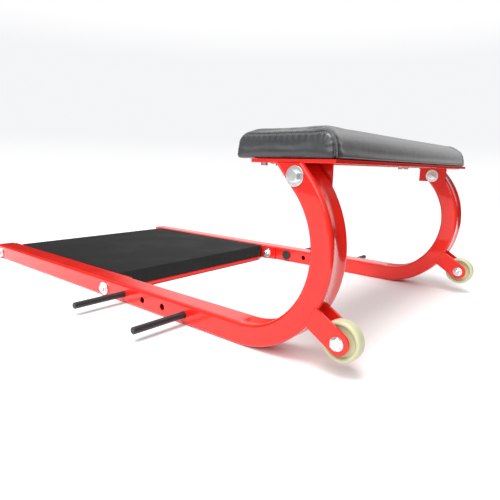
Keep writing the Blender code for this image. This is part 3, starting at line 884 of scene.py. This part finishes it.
# %% Band pegs and tube plugs
def make_peg(place, side, sign):
    node = f"band_peg_{place}_{side}"
    centre = middle(node)
    tip = high(node).y if sign > 0 else low(node).y
    head = low(node).y if sign > 0 else high(node).y
    shoulder = sign * (INNER_FACE - 0.0003)
    shaft, rim = 0.008, 0.0175
    steps = [(head + sign * 0.0005, 0.004), (head, 0.0055), (head, rim - 0.0014),
             (head + sign * 0.0004, rim - 0.0006),
             (head + sign * 0.0014, rim), (shoulder - sign * 0.0005, rim), (shoulder, rim - 0.0005),
             (shoulder, shaft), (tip - sign * 0.0018, shaft), (tip - sign * 0.0012, shaft - 0.0002),
             (tip, shaft - 0.0015), (tip, 0.0022), (tip - sign * 0.0009, 0.0006)]
    rings = [ring_along_y(centre, y, radius) for y, radius in steps]
    return add_piece(f"{side}_{place}_end_peg", skin(rings), black_steel, body=node, stands_for=[node])


def make_plug(side, sign):
    node = "rail_end_plug_" + side
    rim, inside = low(node).x, high(node).x
    seat = TUBE_LOW.x - 0.0003
    wall = TUBE_WALL + 0.0003
    rings = []
    for x, shrink in ((rim, 0.0016), (rim + 0.0006, 0.0006), (rim + 0.0016, 0.0), (seat, 0.0),
                      (seat, wall), (inside, wall)):
        section = tube_section(TUBE_WIDTH / 2 - shrink, max(shrink, 0.0005), RAIL_DEPTH - shrink,
                               TUBE_CORNER - min(shrink, TUBE_WALL), 0.0, 0.0)
        rings.append([(x, sign * TUBE_MIDDLE + across, up) for across, up in section])
    return add_piece(side + "_rail_plug", skin(rings), black_plastic, stands_for=[node])


for side, sign in SIDES:
    for place in ("foot", "bench"):
        peg = make_peg(place, side, sign)
        print(peg.name, "made")
    make_plug(side, sign)

# %% [markdown]
# ## Foot platform
#
# The platform is a folded steel tray with its front and rear edges bent down, faced with the
# grip sheet, between two upright plates that are bolted through the rails. Folded sheet has a
# small radius at each bend. The ends of the slopes are cut back at an angle so that they clear
# the bolts. Both sheets are swept from the same folded line.

# %% Foot platform
SLOPE = radians(51.2)
MITRE = 0.061
SHEET = 0.003
TRAY_LOW, TRAY_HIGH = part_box("platform_tray")
GRIP_LOW, GRIP_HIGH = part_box("platform_grip_sheet")
FALL = cos(SLOPE) / sin(SLOPE)


def folded_sheet(upper, lower, half_at, bend):
    """A sheet between two folded lines (x, z), as wide as half_at says for a height."""
    rings = []
    lines = [eased(line, reach, is_open=True) for line, reach in ((upper, bend), (lower, bend * 0.45))]
    for over, under in zip(*lines):
        half = half_at(over.y)
        skew = 0.0005 / SHEET
        a, b = over.lerp(under, skew), over.lerp(under, 1 - skew)
        ring = []
        for point, reach in ((a, half), (over, half - 0.0005)):
            ring.append((point.x, -reach, point.y))
        for point, reach in ((over, half - 0.0005), (a, half), (b, half), (under, half - 0.0005)):
            ring.append((point.x, reach, point.y))
        for point, reach in ((under, half - 0.0005), (b, half)):
            ring.append((point.x, -reach, point.y))
        rings.append(ring)
    return skin(rings)


def tray_corners(inset):
    """The tray's folded line, inset below its upper face."""
    shift = inset * (1 - cos(SLOPE)) / sin(SLOPE)
    top = TRAY_HIGH.z - inset
    run = (top - TRAY_LOW.z) * FALL
    rise = (TRAY_HIGH.z - TRAY_LOW.z) * FALL
    rear, front = TRAY_LOW.x + rise + shift, TRAY_HIGH.x - rise - shift
    return [(rear - run, TRAY_LOW.z), (rear, top), (front, top), (front + run, TRAY_LOW.z)]


def tray_half(z):
    share = (TRAY_HIGH.z - z) / (TRAY_HIGH.z - TRAY_LOW.z)
    return TRAY_HIGH.y - MITRE * min(1.0, max(0.0, share))


def grip_half(z):
    share = (GRIP_HIGH.z - z) / (TRAY_HIGH.z - TRAY_LOW.z)
    return GRIP_HIGH.y - MITRE * min(1.0, max(0.0, share))


def make_platform():
    tray = add_piece("platform_folded_tray",
                     folded_sheet(tray_corners(0.0), tray_corners(SHEET), tray_half, 0.0032),
                     red_coat, stands_for=["platform_tray"])
    top, foot = GRIP_HIGH.z, GRIP_LOW.z + SHEET * cos(SLOPE)
    fold_x = GRIP_HIGH.x - (top - foot) * FALL
    shift = SHEET * (1 - cos(SLOPE)) / sin(SLOPE)
    upper = [(GRIP_LOW.x, top), (fold_x, top), (GRIP_HIGH.x, foot)]
    lower = [(GRIP_LOW.x, top - SHEET), (fold_x - shift, top - SHEET),
             (GRIP_HIGH.x - SHEET * sin(SLOPE), foot - SHEET * cos(SLOPE))]
    grip = add_piece("platform_grip_facing", folded_sheet(upper, lower, grip_half, 0.0028), grip_sheet,
                     stands_for=["platform_grip_sheet"])
    return tray, grip


for piece in make_platform():
    print(piece.name, [round(v * 1000) for v in piece.dimensions], "mm")

for side, sign in SIDES:
    node = "platform_side_plate_" + side
    plate = add_piece(side + "_platform_cheek", slab(*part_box(node)), red_coat,
                      stands_for=[node], even=False)
    drill(plate, [middle("bolt_front_" + side), middle("bolt_foot_" + side)], 0.0065,
          low(node).y - 0.01, high(node).y + 0.01)

# %% [markdown]
# ## Pad frame and brackets
#
# A rectangle of flat bar carries the pad, and a plate hangs from each of its ends and is bolted
# through the top of the arm. Flat bar has soft rolled edges. The corners and the brackets are
# welded on, so each gets its beads underneath.

# %% Pad frame and brackets
BAR_LOW, BAR_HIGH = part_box("pad_frame")
LONG_BAR, END_BAR = 0.040, 0.0605


def make_pad_frame():
    outer = ((BAR_LOW.x, BAR_LOW.y), (BAR_HIGH.x, BAR_LOW.y),
             (BAR_HIGH.x, BAR_HIGH.y), (BAR_LOW.x, BAR_HIGH.y))
    inner = [(x + LONG_BAR * (1 if x == BAR_LOW.x else -1), y + END_BAR * (1 if y < 0 else -1))
             for x, y in outer]
    rings = [[(x, y, z) for x, y in outline]
             for outline, z in ((outer, BAR_LOW.z), (outer, BAR_HIGH.z),
                                (inner, BAR_HIGH.z), (inner, BAR_LOW.z))]
    bm = skin(rings, looped=True)
    bmesh.ops.recalc_face_normals(bm, faces=bm.faces)
    return add_piece("pad_carrier_frame", soften(bm, 0.0009), red_coat, stands_for=["pad_frame"])


TOP_BOLT_HOLE, DRILL_PAST = 0.0065, 0.01


def make_bracket(side, sign):
    node = "pad_bracket_" + side
    plate = add_piece(side + "_pad_hanger", slab(*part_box(node)), red_coat, stands_for=[node], even=False)
    drill(plate, [middle("bolt_top_" + side)], TOP_BOLT_HOLE,
          low(node).y - DRILL_PAST, high(node).y + DRILL_PAST)
    inside = high(node).y if sign < 0 else low(node).y
    z = BAR_LOW.z - 0.0004
    lines = [line_points((low(node).x, inside, z), (high(node).x, inside, z))]
    joint = sign * (BAR_HIGH.y - END_BAR)
    for start in (BAR_LOW.x, BAR_HIGH.x - LONG_BAR + 0.004):
        lines.append(line_points((start + 0.001, joint, z + 0.0004),
                                 (start + LONG_BAR - 0.005, joint, z + 0.0004)))
    add_beads(side + "_hanger_welds", lines, 0.0020, (0, 0, 1))
    return plate


print(make_pad_frame().name, "made")
for side, sign in SIDES:
    print(make_bracket(side, sign).name, "made")

# %% [markdown]
# ## The pad
#
# The pad is foam on a board, pulled into a vinyl cover. Its long sides and top are one sheet,
# and each end is a separate panel sewn in. A plain box would look like a brick, so the cover is
# blown up a little as cloth: the faces crown, the sides pull in towards the corners, and the
# bottom edge stays held, as it is stapled to the board. The start shape is slightly smaller
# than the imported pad, so that the swollen one fills it.

# %% Cushion cover
PAD_LOW, PAD_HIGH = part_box("pad_cushion")
BOARD_LOW, BOARD_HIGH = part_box("pad_board")
START_INSET = 0.0018
CORNERS = (0.017, 0.026, 0.034, 0.007)
END_ROUND = 0.020
TOP_INSET, FOOT_BULGE, FOOT_SHARE = 0.0048, 0.0025, 0.40
VOXEL = 0.0055
SWELL_LIMIT = 0.0055


def pad_section(shrink):
    """(x, z) round the pad: foot low, foot top, bench top and bench low corners."""
    x0, x1 = PAD_LOW.x - FOOT_BULGE + shrink * FOOT_SHARE, PAD_HIGH.x - START_INSET - shrink
    z0, z1 = PAD_LOW.z + 0.0002 + shrink * 0.05, PAD_HIGH.z - TOP_INSET - shrink * 0.8
    spots = ((x0, z0, 1, 1, 270), (x0, z1, 1, -1, 180), (x1, z1, -1, -1, 90), (x1, z0, -1, 1, 0))
    points = []
    for (x, z, way_x, way_z, start), radius in zip(spots, CORNERS):
        left = max(radius - shrink, 0.003)
        for k in range(9):
            a = radians(start - 90 * k / 8)
            points.append((x + left * (way_x + cos(a)), z + left * (way_z + sin(a))))
    return points


def start_block():
    """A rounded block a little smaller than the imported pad."""
    rings = []
    half = PAD_HIGH.y - START_INSET
    for sign in (-1, 1):
        ends = []
        for k in range(9):
            a = pi / 2 * k / 8
            y = sign * (half - END_ROUND * (1 - sin(a)))
            ends.append([(x, y, z) for x, z in pad_section(END_ROUND * (1 - cos(a)))])
        rings += ends[::-1] if sign < 0 else ends
    return skin(rings)


def remeshed(piece, size):
    remesh = piece.modifiers.new("remesh", "REMESH")
    remesh.mode = "VOXEL"
    remesh.voxel_size = size
    bpy.context.view_layer.update()
    keep_result(piece)


def held_share(point):
    """1 at the stapled bottom edge, 0 from a little above it."""
    return 1 - smooth_step(point.z - PAD_LOW.z, 0.003, 0.012)


def smooth(piece, rounds):
    """Evens out small dents, as taut vinyl over foam does; the held edge stays."""
    bm = bmesh.new()
    bm.from_mesh(piece.data)
    free = [v for v in bm.verts if held_share(v.co) < 0.5]
    for _ in range(rounds):
        bmesh.ops.smooth_vert(bm, verts=free, factor=0.5, use_axis_x=True, use_axis_y=True, use_axis_z=True)
    bm.to_mesh(piece.data)
    bm.free()


def inflate(piece):
    """Blows the cover up as cloth, held at its bottom, and keeps the capped result."""
    rest = [v.co.copy() for v in piece.data.vertices]
    held = piece.vertex_groups.new(name="held")
    for v in piece.data.vertices:
        held.add([v.index], held_share(v.co), "REPLACE")
    cloth = piece.modifiers.new("cloth", "CLOTH")
    cloth.settings.quality = 4
    cloth.settings.use_pressure = True
    cloth.settings.uniform_pressure_force = 4.0
    cloth.settings.vertex_group_mass = "held"
    cloth.settings.effector_weights.gravity = 0.0
    cloth.point_cache.frame_start, cloth.point_cache.frame_end = 1, 20
    for step in range(1, 21):
        bpy.context.scene.frame_set(step)
    keep_result(piece)
    bpy.context.scene.frame_set(1)
    smooth(piece, 5)
    for v, start in zip(piece.data.vertices, rest):
        moved = v.co - start
        if moved.length > SWELL_LIMIT:
            moved *= SWELL_LIMIT / moved.length
        v.co = start + moved


def make_cover():
    cover = add_mesh("pad_vinyl_cover", start_block(), black_vinyl)
    remeshed(cover, VOXEL)
    inflate(cover)
    return cover


cover = make_cover()
print("cover has", len(cover.data.vertices), "points and is",
      [round(v * 1000) for v in cover.dimensions], "mm")

# %% [markdown]
# The sewn seam runs round each end panel, on the rounded edge between the panel and the long
# sheet. Every point of it can be named by two things: where it is along the edge, and how far
# round the edge's curve it lies. From those we find the surface with a ray. The cover is
# pinched in along the seam, it puffs up beside it, and small puckers fan out from it.

# %% Seam line
EDGE_ROUND = 0.016
SEAM_TURN = radians(52)
ROW_TURN = radians(15)
SEAM_BAND = 0.028


def edge_stations(step):
    """(centre of the edge's curve, direction across the edge) up, over and down an end."""
    x0, x1 = PAD_LOW.x + EDGE_ROUND, PAD_HIGH.x - EDGE_ROUND
    z0, z1 = PAD_LOW.z + EDGE_ROUND * 0.3, PAD_HIGH.z - EDGE_ROUND
    spots = ((x0, z0, 1, 1, 225, 180), (x0, z1, 1, -1, 180, 90),
             (x1, z1, -1, -1, 90, 0), (x1, z0, -1, 1, 0, -45))
    path = []
    for (x, z, way_x, way_z, start, end), radius in zip(spots, CORNERS):
        left = max(radius - EDGE_ROUND, 0.0005)
        for k in range(13):
            a = radians(start + (end - start) * k / 12)
            path.append((Vector((x + left * (way_x + cos(a)), 0, z + left * (way_z + sin(a)))),
                         Vector((cos(a), 0, sin(a)))))
    stations = []
    for (here, across), (there, turned_to) in zip(path, path[1:]):
        count = max(1, round((there - here).length / step),
                    round((turned_to - across).length * EDGE_ROUND / step))
        stations += [(here.lerp(there, k / count), across.lerp(turned_to, k / count).normalized())
                     for k in range(count)]
    return stations


def on_cover(tree, station, sign, turn):
    """The cover's surface point and normal at a station, turned round the edge's curve."""
    centre, across = station
    centre = Vector((centre.x, sign * (PAD_HIGH.y - EDGE_ROUND), centre.z))
    outward = across * sin(turn) + Vector((0, sign, 0)) * cos(turn)
    point, normal, _, _ = tree.ray_cast(centre + outward * 0.05, -outward)
    return point, normal


def surface_tree(piece):
    bpy.context.view_layer.update()
    return BVHTree.FromObject(piece, bpy.context.evaluated_depsgraph_get())


def seam_points(tree, sign, turn, step):
    found = [on_cover(tree, station, sign, turn) for station in edge_stations(step)]
    return [(point, normal) for point, normal in found if point is not None]


print("stations along one seam:", len(edge_stations(0.004)))

# %% Shape the cover
def refine_ends(piece):
    """Halves the faces near both ends, so that a narrow seam can be pressed into them."""
    bm = bmesh.new()
    bm.from_mesh(piece.data)
    near_end = [e for e in bm.edges if min(abs(v.co.y) for v in e.verts) > PAD_HIGH.y - SEAM_BAND]
    bmesh.ops.subdivide_edges(bm, edges=near_end, cuts=1, smooth=0.6, use_grid_fill=True)
    bm.to_mesh(piece.data)
    bm.free()


def press_seams(piece):
    """Pinches the cover along its seams, puffs it beside them and puckers it."""
    tree = surface_tree(piece)
    seam = []
    for sign in (-1, 1):
        seam += [point for point, _ in seam_points(tree, sign, SEAM_TURN, 0.0015)]
    near = KDTree(len(seam))
    for index, point in enumerate(seam):
        near.insert(point, index)
    near.balance()
    normals = [v.normal.copy() for v in piece.data.vertices]
    for v, normal in zip(piece.data.vertices, normals):
        _, index, distance = near.find(v.co)
        if distance > 0.030:
            continue
        row = EDGE_ROUND * ROW_TURN
        pinch = 0.0026 * (1 - smooth_step(distance, 0.0, 0.0030))
        pinch += 0.0008 * (1 - smooth_step(abs(distance - row), 0.0, 0.0016))
        puff = 0.0006 * smooth_step(distance, 0.0015, 0.004) * (1 - smooth_step(distance, 0.004, 0.011))
        pucker = 0.00035 * sin(index * 0.0015 / 0.013 * 2 * pi) * (1 - smooth_step(distance, 0.006, 0.026))
        v.co += normal * (puff + pucker * smooth_step(distance, 0.002, 0.006) - pinch)


def open_pocket(piece):
    """Lifts the underside over the board, so that the board fills its pocket."""
    for v in piece.data.vertices:
        inside = (BOARD_LOW.x < v.co.x < BOARD_HIGH.x) and (BOARD_LOW.y < v.co.y < BOARD_HIGH.y)
        if v.co.z < PAD_LOW.z + 0.004:
            v.co.z = BOARD_HIGH.z + 0.0004 if inside else max(v.co.z, PAD_LOW.z)


def finish_cover(piece):
    finer = piece.modifiers.new("finer", "SUBSURF")
    finer.levels = finer.render_levels = 1
    bpy.context.view_layer.update()
    keep_result(piece)
    refine_ends(piece)
    press_seams(piece)
    open_pocket(piece)
    piece.data.shade_smooth()
    piece.data.materials.clear()
    piece.data.materials.append(black_vinyl)
    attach(piece, "frame")
    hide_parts("pad_cushion")


finish_cover(cover)
print("cover finished:", len(cover.data.polygons), "faces,",
      [round(v * 1000, 1) for v in cover.dimensions], "mm")

# %% [markdown]
# Two rows of topstitching hold the seam down, one on each side. Each stitch is a short, thick
# loop of thread that dips into the vinyl at both ends. There are hundreds, so one function
# places them all along the line that the rays found.

# %% Stitching
STITCH, STITCH_GAP = 0.0034, 0.0013
THREAD_RADIUS = 0.00058


def arc_walk(points, step):
    """Points at even spacing along a line of (point, normal) pairs."""
    walked = [points[0]]
    run = 0.0
    for (a, _), (b, normal) in zip(points, points[1:]):
        run += (b - a).length
        if run >= step:
            walked.append((b, normal))
            run = 0.0
    return walked


def stitch_rings(start, end, normal, sides=6, spans=4):
    """One stitch from start to end, arched over the surface."""
    rings = []
    along = (end - start).normalized()
    side = along.cross(normal).normalized()
    for k in range(spans + 1):
        t = k / spans
        arch = sin(pi * t)
        centre = start.lerp(end, t) + normal * (THREAD_RADIUS * (1.5 * arch - 0.6))
        thick = THREAD_RADIUS * (0.55 + 0.45 * arch)
        rings.append([centre + (side * cos(a) + normal * sin(a)) * thick
                      for a in (2 * pi * i / sides for i in range(sides))])
    return rings


def make_stitching(piece):
    tree = surface_tree(piece)
    bm = bmesh.new()
    for sign in (-1, 1):
        for turn in (SEAM_TURN - ROW_TURN, SEAM_TURN + ROW_TURN):
            line = arc_walk(seam_points(tree, sign, turn, 0.0004), STITCH + STITCH_GAP)
            for (start, normal), (end, _) in zip(line, line[1:]):
                gap = (end - start).normalized() * STITCH_GAP / 2
                rings = stitch_rings(start + gap, end - gap, normal)
                made = [[bm.verts.new(p) for p in ring] for ring in rings]
                for here, there in zip(made, made[1:]):
                    for i in range(len(here)):
                        j = (i + 1) % len(here)
                        bm.faces.new((here[i], here[j], there[j], there[i]))
                bm.faces.new(made[0])
                bm.faces.new(made[-1])
    stitches = add_piece("pad_topstitching", bm, stitch_thread, even=False)
    return stitches


stitches = make_stitching(cover)
print("stitch faces:", len(stitches.data.polygons))

# %% [markdown]
# ## Board and pad bolts
#
# The board shows from below, and four small hex screws hold it to the frame. The board keeps its
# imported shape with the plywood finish. The screws get the same coned corners as the big bolts.

# %% Board and pad bolts
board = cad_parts["pad_board"]
board.data.materials.clear()
board.data.materials.append(plywood)


def ring_upright(centre, z, reach):
    points = []
    for k in range(ROUND):
        angle = 2 * pi * k / ROUND
        radius = reach(angle) if callable(reach) else reach
        points.append((centre.x + radius * cos(angle), centre.y + radius * sin(angle), z))
    return points


SCREW_SHANK, SCREW_TIP = 0.004, 0.003
HEAD_FACE = 0.96                    # the flat top's share of the width across the flats


def make_pad_bolt(number, side):
    node = f"pad_bolt_{number}_{side}"
    centre = middle(node)
    head, seat, top = low(node).z, BAR_LOW.z - 0.0003, high(node).z
    share = (high(node).x - low(node).x) / 2 / CORNER_REACH
    small = FLATS_HALF * share

    def six(angle):
        return hexagon(angle) * share

    coned = []
    for (x, y, z), k in zip(ring_upright(centre, head, six), range(ROUND)):
        drop = (six(2 * pi * k / ROUND) - small * HEAD_FACE) * tan(pi / 6)
        coned.append((x, y, z + drop))
    rings = [ring_upright(centre, head, small * HEAD_FACE), coned, ring_upright(centre, seat, six),
             ring_upright(centre, seat, SCREW_SHANK), ring_upright(centre, top - 0.001, SCREW_SHANK),
             ring_upright(centre, top, SCREW_TIP)]
    return add_piece(f"{side}_pad_screw_{number}", skin(rings), zinc_steel, stands_for=[node])


for side, _ in SIDES:
    for number in (1, 2):
        make_pad_bolt(number, side)
    print("pad screws on the", side, "made")

# %% [markdown]
# ## Floor and light
#
# The bench stands on white paper under two broad soft lamps, one overhead and one in front.
# Glossy paint shows whatever stands around it, so the surroundings matter as much as the
# lamps: the paper is bright, and the room is bright overhead and on the far side, weaker on the
# near side and dim at both ends. A plain glowing white wall and ground outside the paper are
# seen only directly, so that they keep the view pale without washing out the reflections. The
# wall's greyer band at eye height is painted shade.

# %% Floor
FLOOR_X, FLOOR_Y = (-3.6, 1.25), (-5.0, 4.2)
FAR = 40.0


def make_paper():
    paper = Finish("white_paper", IOR=1.45, Specular_IOR_Level=0.2)
    fibres = paper.noise(0.004, detail=4.0)
    colour = paper.mix(fibres, (0.855, 0.855, 0.86), (0.875, 0.875, 0.88))
    return paper.done(Base_Color=colour, Roughness=0.75 + fibres * 0.1, Normal=paper.bump(fibres, 0.0001))


def make_glow():
    """Glowing white at the ground, with painted shade a touch greyer at eye height, white again above."""
    glow = Finish("pale_surround", Base_Color=(0.0, 0.0, 0.0), Specular_IOR_Level=0.0,
                  Emission_Strength=1.0)
    height = glow.node("SeparateXYZ", {}, {0: glow.place()}, output=2)
    # painted shade: the glowing surround turns greyer above the ground and white again high up
    grey = glow.band(height, 0.3, 3.0) * (1 - glow.band(height, 9.0, 12.5))
    return glow.done(Emission_Color=glow.mix(grey, (1.0, 1.0, 1.0), (0.905, 0.915, 0.93)))


def add_stage(name, points, finish):
    bm = bmesh.new()
    for quad in points:
        bm.faces.new([bm.verts.new(p) for p in quad])
    mesh = bpy.data.meshes.new(name)
    bm.to_mesh(mesh)
    bm.free()
    mesh.materials.append(finish)
    made = bpy.data.objects.new(name, mesh)
    bpy.context.scene.collection.objects.link(made)
    return made


def surround_quads():
    """A ground and a drum of walls, far outside the paper."""
    sides = 24
    rim = [(FAR * cos(2 * pi * k / sides), FAR * sin(2 * pi * k / sides)) for k in range(sides)]
    ground, roof = -0.004, FAR
    walls = [[(*rim[k - 1], ground), (*rim[k], ground), (*rim[k], roof), (*rim[k - 1], roof)]
             for k in range(sides)]
    return walls + [[(x, y, ground) for x, y in rim]]


(x0, x1), (y0, y1) = FLOOR_X, FLOOR_Y
add_stage("paper_floor", [[(x0, y0, 0.0), (x1, y0, 0.0), (x1, y1, 0.0), (x0, y1, 0.0)]], make_paper())
surround = add_stage("pale_surround", surround_quads(), make_glow())
surround.visible_diffuse = surround.visible_glossy = surround.visible_shadow = False
surround.visible_transmission = surround.visible_volume_scatter = False
print("paper is", x1 - x0, "by", y1 - y0, "m")

# %% Light and room
KEY_STRENGTH, KEY_SPREAD, KEY_LEAN = 2.15, radians(26), (radians(18), radians(6))
FRONT_STRENGTH, FRONT_SPREAD, FRONT_LEAN = 1.35, radians(46), (radians(56), radians(12))


def make_room():
    """A room that is bright overhead and on its far side, weaker near by and dim at both ends."""
    world = bpy.data.worlds.new("studio_room")
    world.use_nodes = True
    tree = world.node_tree
    room = Finish.__new__(Finish)
    room.tree = tree
    view = room.node("TexCoord", output=0)
    x, y, up = (room.node("SeparateXYZ", {}, {0: view}, output=axis) for axis in range(3))
    far_side = room.band(y, 0.50, 0.64) * room.band(up, 0.0, 0.08) * (1 - room.band(x, 0.1, 0.4))
    near_side = room.band(y * -1, 0.3, 0.7)
    level = 0.03 + far_side * 0.8 + near_side * 0.30 + room.band(up, 0.35, 0.9) * 0.95
    colour = room.mix(level, (0.0, 0.0, 0.0), (1.0, 1.0, 1.0))
    room.feed(tree.nodes["Background"], {"Color": colour})
    bpy.context.scene.world = world


def add_lamp(name, strength, spread, lean):
    lamp = bpy.data.objects.new(name, bpy.data.lights.new(name, "SUN"))
    bpy.context.scene.collection.objects.link(lamp)
    lamp.data.energy = strength
    lamp.data.angle = spread
    lamp.rotation_euler = (lean[0], 0.0, lean[1])
    return lamp


make_room()
add_lamp("overhead_lamp", KEY_STRENGTH, KEY_SPREAD, KEY_LEAN)
add_lamp("front_lamp", FRONT_STRENGTH, FRONT_SPREAD, FRONT_LEAN)
print("lamps at", KEY_STRENGTH, "and", FRONT_STRENGTH)
